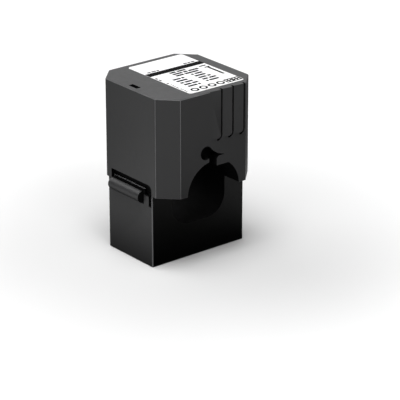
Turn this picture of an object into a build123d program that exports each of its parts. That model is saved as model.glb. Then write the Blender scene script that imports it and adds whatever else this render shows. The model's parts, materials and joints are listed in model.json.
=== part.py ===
"""Split-core current transformer for clipping round an insulated cable.

The part stands closed on its base. X runs across the cable, Y along the cable and
Z up, with the origin at the middle of the base. The upper half carries the coil and
half of the core. It swings up about a pin on the +X side, like a lid, so that the
cable can be laid into the window. The snap latch is on the -X side.
Lengths are in millimetres.
"""

import os
from math import cos, radians, sin, sqrt

from build123d import *

# How far an added piece starts inside a wall, and how far a cut runs past a face
bite = 0.5
past = 1.0

# The lower half
lower_width = 33.7
lower_height = 22.0
lower_wall = 1.6
lower_end_wall = 1.35

# The upper half
split_gap = 0.1
upper_width = 34.0
upper_depth = 33.2
front_overhang = 6.95
back_overhang = 5.6
upper_height = 29.9
corner_cut = 5.05
upper_wall = 1.8
roof = 1.6
edge_round = 0.3
rim_round = 0.15

# The cable window: a round arch over a trough with round corners
arch_radius = 9.44
arch_drop = 0.47
trough_half_width = 9.8
trough_depth = 11.6
trough_corner = 6.5
trough_wall = 1.1
guide_wall = 1.25
guide_clearance = 0.1
liner_floor = 1.2
tunnel_wall = 1.05

# The two halves of the core, and how they sit in their housings
core_yoke = 3.8
core_rise = 20.0
core_corner = 1.5
core_clearance = 0.1
core_side_air = 0.15
core_wall_air = 0.2
core_trough_air = 0.3
trough_core_air = 0.05

# The coil on the upper yoke
former_clearance = 0.2
former_wall = 0.7
flange_thickness = 0.8
flange_margin = 0.4
winding_thickness = 2.2
winding_corner = 1.4
tape_thickness = 0.2
coil_side_gap = 0.3
board_lift = 1.0
board_thickness = 1.0
board_depth = 15.0
pin_radius = 0.35
pin_row = 10.0
pin_below = 1.8
pin_above = 1.2
pin_fit = 0.02
tag_width = 2.0
tag_inset = 0.5
tag_foot = 3.0
tag_sheet = 0.4
tag_height = 1.8
tag_pitch = 5.0

# Pads and ribs that hold the upper core down
pad_thickness = 0.8
pad_margin = 0.5
pad_length = 12.0
stay_width = 1.0

# The spring and the insulating pad under the lower core
cover_thickness = 1.5
cover_clearance = 0.1
spring_sheet = 0.4
spring_width = 13.0
spring_reach = 10.5
spring_pad_thickness = 0.4
spring_pad_margin = 0.6
spring_fit = 0.02

# The hinge
hinge_out = 0.35
hinge_up = 2.1
barrel_radius = 1.1
hinge_web = 0.8
hinge_pin_radius = 0.5
hinge_running_clearance = 0.05
hinge_press_clearance = 0.02
middle_knuckle = 10.0
end_knuckle = 3.0
knuckle_gap = 0.2
knuckle_air = 0.3
knuckle_side_air = 0.15
hinge_arm_reach = 0.6
hinge_arm_inset = 0.05
hinge_arm_drop = 3.4
hinge_arm_taper = 1.65

# The snap latch
pocket_start = 0.1
pocket_end = 1.7
pocket_height = 3.05
pocket_depth = 1.35
pocket_corner = 1.6
tongue_start = 4.05
tongue_end_gap = 0.2
tongue_thickness = 0.5
tongue_set_back = 0.55
tongue_rise = 1.0
channel_depth = 0.8
ridge_start = 4.65
ridge_top = 0.35
ridge_bottom = -3.4
ridge_reach = 1.6
tongue_slot_width = 0.75
tongue_slot_depth = 3.5
slit_start = 1.0
slit_width = 1.2
slit_depth = 3.6
tab_drop = 0.6
tab_thickness = 0.6
tab_hollow = 2.6

# The grip ribs on the front end of the upper half
rib_count = 3
rib_pitch = 4.125
rib_margin = 1.3
rib_width = 3.7
rib_rise = 0.35
rib_bottom = 15.35
rib_corner = 1.0
rib_groove = 0.75
rib_groove_depth = 0.6
rib_groove_tail = 0.15

# The slot for a cable tie at the front end
tie_head_x = -2.65
tie_head_up = 11.8
tie_head_radius = 2.05
tie_neck_left = -1.6
tie_neck_right = 1.15
tie_tip_x = 3.75
tie_tip_up = 10.1
tie_tip_height = 0.15
tie_lip_start = 36.9
tie_lip_sag = 0.75
tie_bend = 1.2
tie_depth = 3.2
tie_floor = 0.9
tie_block_margin = 1.2
lug_right = 5.5
lug_up = 7.2

# The opening in the roof, the rating label and the lead's grommet
roof_slot_inset = 2.15
roof_slot_y = 0.5
roof_slot_width = 1.5
roof_slot_length = 3.8
label_x = 3.15
label_width = 19.9
label_length = 29.0
label_thickness = 0.12
lead_margin = 1.35
lead_up = 20.5
lead_radius = 1.6
grommet_neck = 2.6
grommet_flange = 3.6
grommet_proud = 0.3
grommet_inner = 1.2
grommet_fit = 0.02

# Levels and places that follow from the sizes above
half_lower_width = lower_width / 2
half_width = upper_width / 2
half_depth = upper_depth / 2
lower_front = front_overhang - half_depth
lower_back = half_depth - back_overhang
core_mid = (lower_front + lower_back) / 2
half_lower_depth = (lower_back - lower_front) / 2
lower_top = lower_height
split = lower_height + split_gap
upper_top = split + upper_height
arch_level = split - arch_drop
inner_half_depth = half_depth - upper_wall
trough_level = split - trough_depth
core_inner = trough_half_width + trough_wall + core_trough_air
core_outer = min(half_lower_width - lower_wall, half_width - upper_wall) - core_wall_air
core_limb = core_outer - core_inner
half_core_depth = half_lower_depth - lower_end_wall - core_side_air
upper_yoke_top = split + core_rise
upper_yoke_bottom = upper_yoke_top - core_yoke
lower_yoke_top = trough_level - trough_wall - trough_core_air
lower_yoke_bottom = lower_yoke_top - core_yoke
tube_half_depth = half_core_depth + former_clearance + former_wall
tube_top = upper_yoke_top + former_clearance + former_wall
tube_bottom = upper_yoke_bottom - former_clearance - former_wall
coil_top = tube_top + winding_thickness
coil_bottom = tube_bottom - winding_thickness
coil_half_depth = tube_half_depth + winding_thickness
former_half = core_inner - coil_side_gap
coil_half = former_half - flange_thickness
board_bottom = coil_top + flange_margin + board_lift
board_top = board_bottom + board_thickness
pivot_x = max(half_width, half_lower_width) + hinge_out
pivot_z = split + hinge_up
middle_half = middle_knuckle / 2
barrel_end = middle_half + knuckle_gap + end_knuckle
notch_x = pivot_x - barrel_radius - knuckle_side_air
pocket_front = lower_front + pocket_start
pocket_back = lower_back - pocket_end
tongue_front = lower_front + tongue_start
tongue_back = pocket_back - tongue_end_gap
ridge_front = lower_front + ridge_start
slit_centre = lower_front + slit_start
latch_face = -half_lower_width
last_rib = half_width - corner_cut - rib_margin
rib_lines = [last_rib - place * rib_pitch for place in reversed(range(rib_count))]
roof_slot_x = roof_slot_inset - half_width
lead_x = corner_cut + grommet_flange + lead_margin - half_width


def block(x0, x1, y0, y1, z0, z1):
    """A box between two corners."""
    middle = Pos((x0 + x1) / 2, (y0 + y1) / 2, (z0 + z1) / 2)
    return middle * Box(x1 - x0, y1 - y0, z1 - z0)


def round_bar(x, z, radius, y0, y1):
    """A cylinder that runs along Y."""
    return Pos(x, (y0 + y1) / 2, z) * Rot(90, 0, 0) * Cylinder(radius, y1 - y0)


def octagon(half_x, half_y, cut, z0, z1):
    """A prism with cut corners, standing between two levels."""
    corners = [
        (half_x, half_y - cut),
        (half_x - cut, half_y),
        (cut - half_x, half_y),
        (-half_x, half_y - cut),
        (-half_x, cut - half_y),
        (cut - half_x, -half_y),
        (half_x - cut, -half_y),
        (half_x, cut - half_y),
    ]
    outline = make_face(Polyline(*[(x, y, z0) for x, y in corners], close=True))
    return extrude(outline, amount=z1 - z0, dir=(0, 0, 1))


def inner_octagon(inset, z0, z1):
    """The outline of the upper half, moved in by a wall."""
    cut = corner_cut - inset * (2 - sqrt(2))
    return octagon(half_width - inset, half_depth - inset, cut, z0, z1)


def along_y(edges, y0, y1):
    """Extrudes a closed outline in the XZ plane along Y."""
    outline = Pos(0, y0, 0) * make_face(edges)
    return extrude(outline, amount=y1 - y0, dir=(0, 1, 0))


def polygon_along_y(points, y0, y1):
    """Extrudes a polygon given by its X and Z values along Y."""
    return along_y(Polyline(*[(x, 0, z) for x, z in points], close=True), y0, y1)


def trough(grow, z1, y0, y1):
    """The lower part of the window, grown by a wall, up to a level."""
    half = trough_half_width + grow
    solid = block(-half, half, y0, y1, trough_level - grow, z1)
    lowest = solid.edges().filter_by(Axis.Y).group_by(Axis.Z)[0]
    return fillet(lowest, trough_corner + grow)


def rib_outline(line_x, grow, y0, y1):
    """One grip rib seen from the front, with its round lower corner."""
    right = line_x + grow
    bottom = split + rib_bottom - grow
    solid = block(line_x - rib_width, right, y0, y1, bottom, upper_top)
    lower_right = solid.edges().filter_by(Axis.Y).group_by(Axis.Z)[0].sort_by(Axis.X)[-1]
    return fillet(lower_right, rib_corner + grow)


def rib_ramp(line_x):
    """A rib that rises to the right and ends in a step."""
    left = line_x - rib_width
    foot = upper_wall / 2
    corners = [
        (left, -half_depth, 0),
        (line_x, -half_depth - rib_rise, 0),
        (line_x, -half_depth + foot, 0),
        (left, -half_depth + foot, 0),
    ]
    base = Pos(0, 0, split) * make_face(Polyline(*corners, close=True))
    ramp = extrude(base, amount=upper_height, dir=(0, 0, 1))
    return ramp & rib_outline(line_x, 0, -half_depth - 2 * rib_rise, -half_depth + foot)


def rib_shadow_groove(line_x):
    """The narrow groove that follows the step of a rib and turns under its corner."""
    y0 = -half_depth - rib_rise
    y1 = -half_depth + rib_groove_depth
    ring = rib_outline(line_x, rib_groove, y0, y1) - rib_outline(line_x, 0, y0, y1)
    tail = line_x - rib_corner - rib_groove_tail
    low = split + rib_bottom - past
    keep = block(tail, line_x + past, y0, y1, low, upper_top + past)
    return ring & keep


def tie_slot():
    """The keyhole slot, with its curved lip to the right, cut from the front end."""
    y0 = -half_depth - past
    y1 = -half_depth + tie_depth
    tip_z = split + tie_tip_up
    turn = radians(tie_lip_start)
    start_x = tie_head_x + tie_head_radius * cos(turn)
    lip_start = (start_x, 0, split + tie_head_up + tie_head_radius * sin(turn))
    lip_middle = ((start_x + tie_tip_x) / 2, 0, split + tie_head_up - tie_lip_sag)
    upper_tip = (tie_tip_x, 0, tip_z + tie_tip_height)
    lower_tip = (tie_tip_x, 0, tip_z)
    inside = tie_bend * (1 - cos(radians(45)))
    bend_start = (tie_neck_right + tie_bend, 0, tip_z)
    bend_middle = (tie_neck_right + inside, 0, tip_z - inside)
    bend_end = (tie_neck_right, 0, tip_z - tie_bend)
    foot_right = (tie_neck_right, 0, split + lug_up - bite)
    foot_left = (tie_neck_left, 0, split + lug_up - bite)
    neck_top = (tie_neck_left, 0, split + tie_head_up)
    edges = Curve() + [
        ThreePointArc(lip_start, lip_middle, upper_tip),
        Line(upper_tip, lower_tip),
        Line(lower_tip, bend_start),
        ThreePointArc(bend_start, bend_middle, bend_end),
        Line(bend_end, foot_right),
        Line(foot_right, foot_left),
        Line(foot_left, neck_top),
        Line(neck_top, lip_start),
    ]
    head = round_bar(tie_head_x, split + tie_head_up, tie_head_radius, y0, y1)
    return head + along_y(edges, y0, y1)


def window_guides():
    """The arched guide at each end of the upper half, beyond the lower half."""
    outer = arch_radius + guide_wall
    full = round_bar(0, arch_level, outer, -inner_half_depth - bite, inner_half_depth + bite)
    above = block(-outer, outer, -half_depth, half_depth, split, upper_top)
    front, back = lower_front - guide_clearance, lower_back + guide_clearance
    between = block(-half_width, half_width, front, back, split - past, upper_top)
    return (full & above) - between


def latch_pocket():
    """The cut-out in the lower edge of the upper half, on the latch side."""
    face = -half_width
    pocket = block(
        face - past,
        face + pocket_depth,
        pocket_front,
        pocket_back,
        split - past,
        split + pocket_height,
    )
    top_edges = pocket.edges().filter_by(Axis.X).group_by(Axis.Z)[-1]
    return fillet(top_edges.sort_by(Axis.Y)[0], pocket_corner)


def upper_hinge_barrels():
    """The two outer knuckles of the hinge."""
    inner = middle_half + knuckle_gap
    starts = (core_mid - barrel_end, core_mid + inner)
    bars = [round_bar(pivot_x, pivot_z, barrel_radius, y, y + end_knuckle) for y in starts]
    low = pivot_z - hinge_web
    webs = [
        block(half_width - bite, pivot_x, y, y + end_knuckle, low, pivot_z + barrel_radius)
        for y in starts
    ]
    return bars + webs


def upper_housing():
    """The upper shell, with guides, grip ribs, tie slot, latch pocket and hinge."""
    outer = octagon(half_width, half_depth, corner_cut, split, upper_top)
    soft = outer.edges().filter_by(Axis.Z) + outer.edges().group_by(Axis.Z)[-1]
    outer = fillet(soft, edge_round)
    outer = fillet(outer.edges().group_by(Axis.Z)[0], rim_round)
    shell = outer - inner_octagon(upper_wall, split - past, upper_top - roof)
    shell += window_guides()
    tie_back = -half_depth + tie_depth + tie_floor
    shell += block(
        tie_head_x - tie_head_radius - tie_block_margin,
        tie_tip_x + tie_block_margin,
        -inner_half_depth - bite,
        tie_back,
        split + lug_up + past,
        split + tie_head_up + tie_head_radius + tie_block_margin,
    )
    shell -= round_bar(0, arch_level, arch_radius, -upper_depth, upper_depth)
    shell += block(
        tie_neck_right,
        lug_right,
        -half_depth,
        -inner_half_depth,
        split + lug_up,
        split + arch_radius,
    )
    shell -= tie_slot()
    for line_x in rib_lines:
        shell += rib_ramp(line_x)
    for line_x in rib_lines:
        shell -= rib_shadow_groove(line_x)
    for side in (-1, 1):
        stay_x = side * (core_inner + core_limb / 2)
        shell += block(
            stay_x - stay_width / 2,
            stay_x + stay_width / 2,
            core_mid - pad_length / 2,
            core_mid + pad_length / 2,
            upper_yoke_top + pad_thickness,
            upper_top - roof + bite,
        )
    shell -= block(
        roof_slot_x - roof_slot_width / 2,
        roof_slot_x + roof_slot_width / 2,
        roof_slot_y - roof_slot_length / 2,
        roof_slot_y + roof_slot_length / 2,
        upper_top - roof - past,
        upper_top + past,
    )
    shell -= latch_pocket()
    for bar in upper_hinge_barrels():
        shell += bar
    notch_top = pivot_z + barrel_radius + knuckle_air
    notch_half = middle_half + knuckle_gap
    notch_out = pivot_x + barrel_radius + past
    y0, y1 = core_mid - notch_half, core_mid + notch_half
    shell -= block(notch_x, notch_out, y0, y1, split - past, notch_top)
    bore = hinge_pin_radius + hinge_press_clearance
    y0, y1 = core_mid - barrel_end - past, core_mid + barrel_end + past
    shell -= round_bar(pivot_x, pivot_z, bore, y0, y1)
    shell -= round_bar(lead_x, split + lead_up, grommet_neck, inner_half_depth - past, half_depth + past)
    return shell


def window_liner():
    """The floor of the upper half and the arched tunnel between the end guides."""
    liner = inner_octagon(upper_wall + guide_clearance, split, split + liner_floor)
    ring_outer = arch_radius + guide_wall
    liner -= round_bar(0, arch_level, ring_outer + guide_clearance, -half_depth, lower_front)
    liner -= round_bar(0, arch_level, ring_outer + guide_clearance, lower_back, half_depth)
    tunnel = round_bar(0, arch_level, arch_radius + tunnel_wall, lower_front, lower_back)
    above = block(-half_width, half_width, -half_depth, half_depth, split, upper_top)
    liner += tunnel & above
    liner -= round_bar(0, arch_level, arch_radius, -half_depth, half_depth)
    y0 = core_mid - half_core_depth - core_clearance
    y1 = core_mid + half_core_depth + core_clearance
    for side in (-1, 1):
        x0, x1 = sorted((side * (core_inner - core_clearance), side * half_width))
        liner -= block(x0, x1, y0, y1, split - past, split + liner_floor + past)
    return liner


def core_half(yoke_outer, pole, direction):
    """One half of the core: two limbs and the yoke that joins them."""
    z0, z1 = sorted((yoke_outer, pole))
    outer = block(-core_outer, core_outer, -half_core_depth, half_core_depth, z0, z1)
    ends = outer.edges().filter_by(Axis.Y).group_by(Axis.Z)[-1 if direction > 0 else 0]
    outer = fillet(ends, core_corner)
    yoke_inner = yoke_outer - direction * core_yoke
    w0, w1 = sorted((yoke_inner, pole - direction * past))
    return outer - block(-core_inner, core_inner, -half_depth, half_depth, w0, w1)


def coil_former():
    """The former round the upper yoke, with its two flanges and board seats."""
    former = block(
        -former_half, former_half, -tube_half_depth, tube_half_depth, tube_bottom, tube_top
    )
    reach = coil_half_depth + flange_margin
    for side in (-1, 1):
        x0, x1 = sorted((side * coil_half, side * former_half))
        former += block(x0, x1, -reach, reach, coil_bottom - flange_margin, coil_top + flange_margin)
        former += block(x0, x1, -board_depth / 2, board_depth / 2, coil_top, board_bottom)
    clear = half_core_depth + former_clearance
    former -= block(
        -former_half - past,
        former_half + past,
        -clear,
        clear,
        upper_yoke_bottom - former_clearance,
        upper_yoke_top + former_clearance,
    )
    for pin in terminal_pins(pin_fit):
        former -= pin
    return former


def former_halves():
    """The former is moulded in two halves that close round the yoke."""
    middle = (upper_yoke_top + upper_yoke_bottom) / 2
    whole = coil_former()
    low = block(-half_width, half_width, -half_depth, half_depth, split, middle)
    high = block(-half_width, half_width, -half_depth, half_depth, middle, upper_top)
    return whole & low, whole & high


def sleeve(half_x, half_y, z0, z1, wall, corner):
    """A rounded sleeve that runs along X round a tube."""
    outer = block(-half_x, half_x, -half_y, half_y, z0, z1)
    outer = fillet(outer.edges().filter_by(Axis.X), corner)
    inner = block(
        -half_x - past, half_x + past, wall - half_y, half_y - wall, z0 + wall, z1 - wall
    )
    if corner > wall:
        inner = fillet(inner.edges().filter_by(Axis.X), corner - wall)
    return outer - inner


def secondary_winding():
    """The winding, as one sleeve of wire round the former's tube."""
    return sleeve(
        coil_half, coil_half_depth, coil_bottom, coil_top, winding_thickness, winding_corner
    )


def winding_tape():
    """The tape wrapped round the winding."""
    return sleeve(
        coil_half,
        coil_half_depth + tape_thickness,
        coil_bottom - tape_thickness,
        coil_top + tape_thickness,
        tape_thickness,
        winding_corner + tape_thickness,
    )


def terminal_pins(grow=0.0):
    """Four pins that pass from the former's flanges through the board."""
    x = (coil_half + former_half) / 2
    z0 = board_bottom - pin_below - grow
    z1 = board_top + pin_above
    pins = []
    for side in (-1, 1):
        for row in (-1, 1):
            place = Pos(side * x, row * pin_row / 2, (z0 + z1) / 2)
            pins.append(place * Cylinder(pin_radius + grow, z1 - z0))
    return pins


def terminal_board():
    """The board on top of the coil, drilled for the pins."""
    board = block(
        -former_half, former_half, -board_depth / 2, board_depth / 2, board_bottom, board_top
    )
    for pin in terminal_pins(pin_fit):
        board -= pin
    return board


def output_tags():
    """Two bent solder tags for the cores of the outgoing lead."""
    back = board_depth / 2 - tag_inset
    tags = []
    for side in (-1, 1):
        x = lead_x / 2 + side * tag_pitch / 2
        x0, x1 = x - tag_width / 2, x + tag_width / 2
        foot = block(x0, x1, back - tag_foot, back, board_top, board_top + tag_sheet)
        stem = block(x0, x1, back - tag_sheet, back, board_top, board_top + tag_height)
        tags.append(foot + stem)
    return tags


def core_pads():
    """The two pads between the upper core and the ribs under the roof."""
    pads = []
    for side in (-1, 1):
        x = side * (core_inner + core_limb / 2)
        top = upper_yoke_top + pad_thickness
        half = core_limb / 2 - pad_margin
        pads.append(
            block(x - half, x + half, -pad_length / 2, pad_length / 2, upper_yoke_top, top)
        )
    return pads


def grommet():
    """The rubber grommet in the back wall, where the lead would leave."""
    z = split + lead_up
    neck = grommet_neck - grommet_fit
    start = inner_half_depth - grommet_inner
    body = round_bar(lead_x, z, grommet_flange, start, inner_half_depth)
    body += round_bar(lead_x, z, neck, start, half_depth)
    body += round_bar(lead_x, z, grommet_flange, half_depth, half_depth + grommet_proud)
    return body - round_bar(lead_x, z, lead_radius, start - past, half_depth + past)


def hinge_pin():
    """The steel pin through the three knuckles."""
    y0, y1 = core_mid - barrel_end, core_mid + barrel_end
    return round_bar(pivot_x, pivot_z, hinge_pin_radius, y0, y1)


def rating_label():
    """The plain label on the roof."""
    return block(
        label_x - label_width / 2,
        label_x + label_width / 2,
        -label_length / 2,
        label_length / 2,
        upper_top,
        upper_top + label_thickness,
    )


def latch_ridge():
    """The half-round finger ridge on the latch side."""
    top = (latch_face, 0, split + ridge_top)
    out = (latch_face - ridge_reach, 0, split + (ridge_top + ridge_bottom) / 2)
    bottom = (latch_face, 0, split + ridge_bottom)
    edges = Curve() + [ThreePointArc(top, out, bottom), Line(bottom, top)]
    return along_y(edges, ridge_front, tongue_back)


def latch_tongue():
    """The snap tongue that rises into the pocket, behind the ridge."""
    face = latch_face + tongue_set_back
    return block(
        face, face + tongue_thickness, tongue_front, tongue_back, lower_top - past, split + tongue_rise
    )


def latch_channel():
    """The channel that parts the ridge from the tongue."""
    return block(
        latch_face,
        latch_face + tongue_set_back,
        tongue_front,
        pocket_back,
        split - channel_depth,
        split + pocket_height,
    )


def tongue_slot():
    """The slot that frees the front end of the tongue from the wall beside it."""
    return block(
        latch_face - past,
        latch_face + lower_wall + bite,
        ridge_front - tongue_slot_width,
        ridge_front,
        split - tongue_slot_depth,
        lower_top + past,
    )


def tab_cuts():
    """The slit at the corner, and the hollow behind the short tab between the slits."""
    slit = block(
        latch_face - past,
        latch_face + lower_wall + bite,
        slit_centre - slit_width / 2,
        slit_centre + slit_width / 2,
        split - slit_depth,
        lower_top + past,
    )
    top = block(
        latch_face - past,
        latch_face + tab_thickness,
        slit_centre,
        tongue_front,
        split - tab_drop,
        lower_top + past,
    )
    hollow = block(
        latch_face + tab_thickness,
        latch_face + lower_wall + bite,
        slit_centre,
        tongue_front,
        split - tab_hollow,
        lower_top + past,
    )
    return slit + top + hollow


def lower_knuckle():
    """The middle knuckle of the hinge and the arm that carries it."""
    inner_x = pivot_x - barrel_radius - hinge_arm_inset
    outer_x = pivot_x + hinge_arm_reach
    join_x = half_lower_width - bite
    points = [
        (inner_x, pivot_z),
        (inner_x, lower_top),
        (join_x, lower_top),
        (join_x, lower_top - hinge_arm_drop),
        (half_lower_width, lower_top - hinge_arm_drop),
        (outer_x, lower_top - hinge_arm_drop + hinge_arm_taper),
        (outer_x, pivot_z),
    ]
    y0, y1 = core_mid - middle_half, core_mid + middle_half
    arm = polygon_along_y(points, y0, y1)
    return arm + round_bar(pivot_x, pivot_z, barrel_radius, y0, y1)


def lower_housing():
    """The lower shell, with the trough, latch and hinge arm."""
    outer = block(-half_lower_width, half_lower_width, lower_front, lower_back, 0, lower_top)
    soft = outer.edges().filter_by(Axis.Z) + outer.edges().group_by(Axis.Z)[0]
    shell = fillet(soft, edge_round)
    room = block(
        lower_wall - half_lower_width,
        half_lower_width - lower_wall,
        lower_front + lower_end_wall,
        lower_back - lower_end_wall,
        -past,
        lower_top + past,
    )
    walls = trough(trough_wall, lower_top, lower_front, lower_back)
    shell = (shell - room) + walls
    shell -= latch_channel()
    shell += latch_ridge()
    shell -= tongue_slot()
    shell -= tab_cuts()
    shell += latch_tongue()
    shell += lower_knuckle()
    shell -= trough(0, lower_top + tongue_rise, lower_front - past, lower_back + past)
    bore = hinge_pin_radius + hinge_running_clearance
    y0, y1 = core_mid - middle_half - past, core_mid + middle_half + past
    shell -= round_bar(pivot_x, pivot_z, bore, y0, y1)
    return shell


def lower_cover():
    """The bottom plate that closes the lower half."""
    inset_x = lower_wall + cover_clearance
    inset_y = lower_end_wall + cover_clearance
    return block(
        inset_x - half_lower_width,
        half_lower_width - inset_x,
        lower_front + inset_y,
        lower_back - inset_y,
        0,
        cover_thickness,
    )


def spring_pad():
    """The insulating sheet under the lower core."""
    return block(
        spring_pad_margin - core_outer,
        core_outer - spring_pad_margin,
        spring_pad_margin - half_core_depth,
        half_core_depth - spring_pad_margin,
        lower_yoke_bottom - spring_pad_thickness,
        lower_yoke_bottom,
    )


def core_spring():
    """The bowed leaf spring that lifts the lower core against the upper one."""
    crest = lower_yoke_bottom - spring_pad_thickness - spring_fit
    foot = cover_thickness
    top_arc = ThreePointArc(
        (-spring_reach, 0, foot + spring_sheet), (0, 0, crest), (spring_reach, 0, foot + spring_sheet)
    )
    low_arc = ThreePointArc(
        (-spring_reach, 0, foot), (0, 0, crest - spring_sheet), (spring_reach, 0, foot)
    )
    edges = Curve() + [
        top_arc,
        Line(top_arc @ 1, low_arc @ 1),
        low_arc,
        Line(low_arc @ 0, top_arc @ 0),
    ]
    return along_y(edges, -spring_width / 2, spring_width / 2)


def group(solids):
    """Like pieces round the core's middle, kept together as separate solids."""
    return Compound(children=[Pos(0, core_mid, 0) * solid for solid in solids])


def main():
    former_lower, former_upper = former_halves()
    at_core = Pos(0, core_mid, 0)
    nodes = {
        "upper_housing": upper_housing(),
        "window_liner": window_liner(),
        "upper_core": at_core * core_half(upper_yoke_top, split, 1),
        "coil_former_lower_half": at_core * former_lower,
        "coil_former_upper_half": at_core * former_upper,
        "secondary_winding": at_core * secondary_winding(),
        "winding_tape": at_core * winding_tape(),
        "terminal_board": at_core * terminal_board(),
        "terminal_pins": group(terminal_pins()),
        "output_tags": group(output_tags()),
        "core_pads": group(core_pads()),
        "lead_grommet": grommet(),
        "rating_label": rating_label(),
        "hinge_pin": hinge_pin(),
        "lower_housing": lower_housing(),
        "lower_core": at_core * core_half(lower_yoke_bottom, lower_top, -1),
        "spring_pad": at_core * spring_pad(),
        "core_spring": at_core * core_spring(),
        "lower_cover": lower_cover(),
    }
    os.makedirs("parts", exist_ok=True)
    for name, solid in nodes.items():
        export_step(solid, f"parts/{name}.step")
        print(name, len(solid.solids()), round(solid.volume, 1))


main()
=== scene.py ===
# %% [markdown]
# # A split-core current transformer
# This small black box closes round an insulated cable and measures its current. The
# upper half holds the coil and half of a steel core. It swings up like a lid on a pin,
# and a snap latch holds it shut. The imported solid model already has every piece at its
# real size. This lesson gives each piece its finish, models the pieces whose detail a
# plain solid can't carry, and then sets up the camera and the studio light.

import json
from math import cos, pi, radians, sin, sqrt

import bmesh
import bpy
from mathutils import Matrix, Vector

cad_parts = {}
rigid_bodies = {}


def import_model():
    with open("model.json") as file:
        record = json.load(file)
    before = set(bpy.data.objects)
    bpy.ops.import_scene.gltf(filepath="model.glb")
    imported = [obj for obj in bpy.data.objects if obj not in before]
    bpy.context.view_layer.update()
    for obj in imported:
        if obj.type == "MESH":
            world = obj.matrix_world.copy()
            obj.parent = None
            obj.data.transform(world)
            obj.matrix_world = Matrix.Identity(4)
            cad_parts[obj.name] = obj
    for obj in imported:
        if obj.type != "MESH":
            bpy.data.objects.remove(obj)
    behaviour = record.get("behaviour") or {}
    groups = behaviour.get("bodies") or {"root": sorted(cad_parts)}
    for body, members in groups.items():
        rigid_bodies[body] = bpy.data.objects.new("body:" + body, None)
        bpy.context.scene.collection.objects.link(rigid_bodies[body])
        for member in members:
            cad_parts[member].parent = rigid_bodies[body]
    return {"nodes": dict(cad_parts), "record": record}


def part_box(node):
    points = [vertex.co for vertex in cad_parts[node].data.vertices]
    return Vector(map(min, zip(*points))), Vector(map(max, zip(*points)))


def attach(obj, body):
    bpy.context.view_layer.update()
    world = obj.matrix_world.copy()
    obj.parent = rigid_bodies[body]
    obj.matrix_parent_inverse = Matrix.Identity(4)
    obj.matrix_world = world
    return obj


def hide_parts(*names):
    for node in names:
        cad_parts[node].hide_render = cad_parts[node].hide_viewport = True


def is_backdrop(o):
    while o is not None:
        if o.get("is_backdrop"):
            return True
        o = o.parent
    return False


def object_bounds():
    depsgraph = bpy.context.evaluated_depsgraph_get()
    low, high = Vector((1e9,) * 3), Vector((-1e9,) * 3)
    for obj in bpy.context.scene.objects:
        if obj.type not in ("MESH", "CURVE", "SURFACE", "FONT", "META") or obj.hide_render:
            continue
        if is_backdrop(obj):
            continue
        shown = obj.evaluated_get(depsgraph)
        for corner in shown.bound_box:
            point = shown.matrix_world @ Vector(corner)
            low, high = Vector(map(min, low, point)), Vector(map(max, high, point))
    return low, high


MM = 0.001
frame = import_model()
nodes = frame["nodes"]
cad_low, cad_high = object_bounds()
print("nodes:", len(nodes), "box in mm:", [round(v / MM, 2) for v in cad_high - cad_low])

# %% [markdown]
# ## Working on one piece at a time
# An operator acts on everything that is selected, and the load leaves the model
# selected. So each step starts from an empty selection. In edit mode, the faces,
# edges or points that a step needs are picked by a test of their place or normal,
# which gives the same pick each time the script runs.

# %% Selection helpers
LEVEL = 0.9


def clear_selection():
    """Nothing selected and nothing active."""
    for piece in bpy.data.objects:
        piece.select_set(False)
    bpy.context.view_layer.objects.active = None


def work_on(piece, mode="OBJECT"):
    """Only this piece is selected and active, in the given mode."""
    clear_selection()
    piece.select_set(True)
    bpy.context.view_layer.objects.active = piece
    bpy.ops.object.mode_set(mode=mode)


def pick(piece, kind, test):
    """In edit mode, selects the points, edges or faces that pass a test."""
    bpy.ops.mesh.select_mode(type=kind)
    bpy.ops.mesh.select_all(action="DESELECT")
    shape = bmesh.from_edit_mesh(piece.data)
    elements = {"VERT": shape.verts, "EDGE": shape.edges, "FACE": shape.faces}[kind]
    found = [element for element in elements if test(element)]
    for element in found:
        element.select_set(True)
    shape.select_flush_mode()
    bmesh.update_edit_mesh(piece.data)
    return len(found)


def is_level(face):
    """Whether a face looks straight up or straight down."""
    return abs(face.normal.z) > LEVEL


def edge_middle(edge):
    """The middle of an edge in edit mode."""
    return (edge.verts[0].co + edge.verts[1].co) / 2


def leave_edit():
    """Back to object mode."""
    bpy.ops.object.mode_set(mode="OBJECT")


def cuboid(name, low, high):
    """A cube primitive stretched between two corners, with its place in its mesh."""
    clear_selection()
    low, high = Vector(low), Vector(high)
    bpy.ops.mesh.primitive_cube_add(size=1, location=(low + high) / 2)
    piece = bpy.context.active_object
    piece.name = name
    piece.scale = high - low
    bpy.ops.object.transform_apply(location=True, rotation=True, scale=True)
    return piece


def apply_modifier(piece, kind, **settings):
    """Adds one modifier, sets it and applies it."""
    work_on(piece)
    modifier = piece.modifiers.new(kind.lower(), kind)
    for name, value in settings.items():
        setattr(modifier, name, value)
    bpy.ops.object.modifier_apply(modifier=modifier.name)


def triangles(piece):
    """How many triangles a mesh has."""
    return sum(len(face.vertices) - 2 for face in piece.data.polygons)


# %% [markdown]
# ## Shared surface effects
# Two effects appear on most of this object. Moulded pieces have a fine matt skin from
# the eroded steel of the mould, and drawn or ground metal has lines along one way.
# Each effect is a node group with named inputs, built once. A group gives out only a
# tone, a roughness and a height, and each material holds its own shader.

# %% Node helpers


def add_node(tree, kind, **settings):
    """A new node with its settings."""
    node = tree.nodes.new(kind)
    for name, value in settings.items():
        setattr(node, name, value)
    return node


def feed(tree, socket, source):
    """Links a socket to another one, or gives it a plain value."""
    if isinstance(source, bpy.types.NodeSocket):
        tree.links.new(source, socket)
    else:
        socket.default_value = source


def sums(tree, operation, *values):
    """One math node, with its result."""
    node = add_node(tree, "ShaderNodeMath", operation=operation)
    for socket, value in zip(node.inputs, values):
        feed(tree, socket, value)
    return node.outputs[0]


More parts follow.
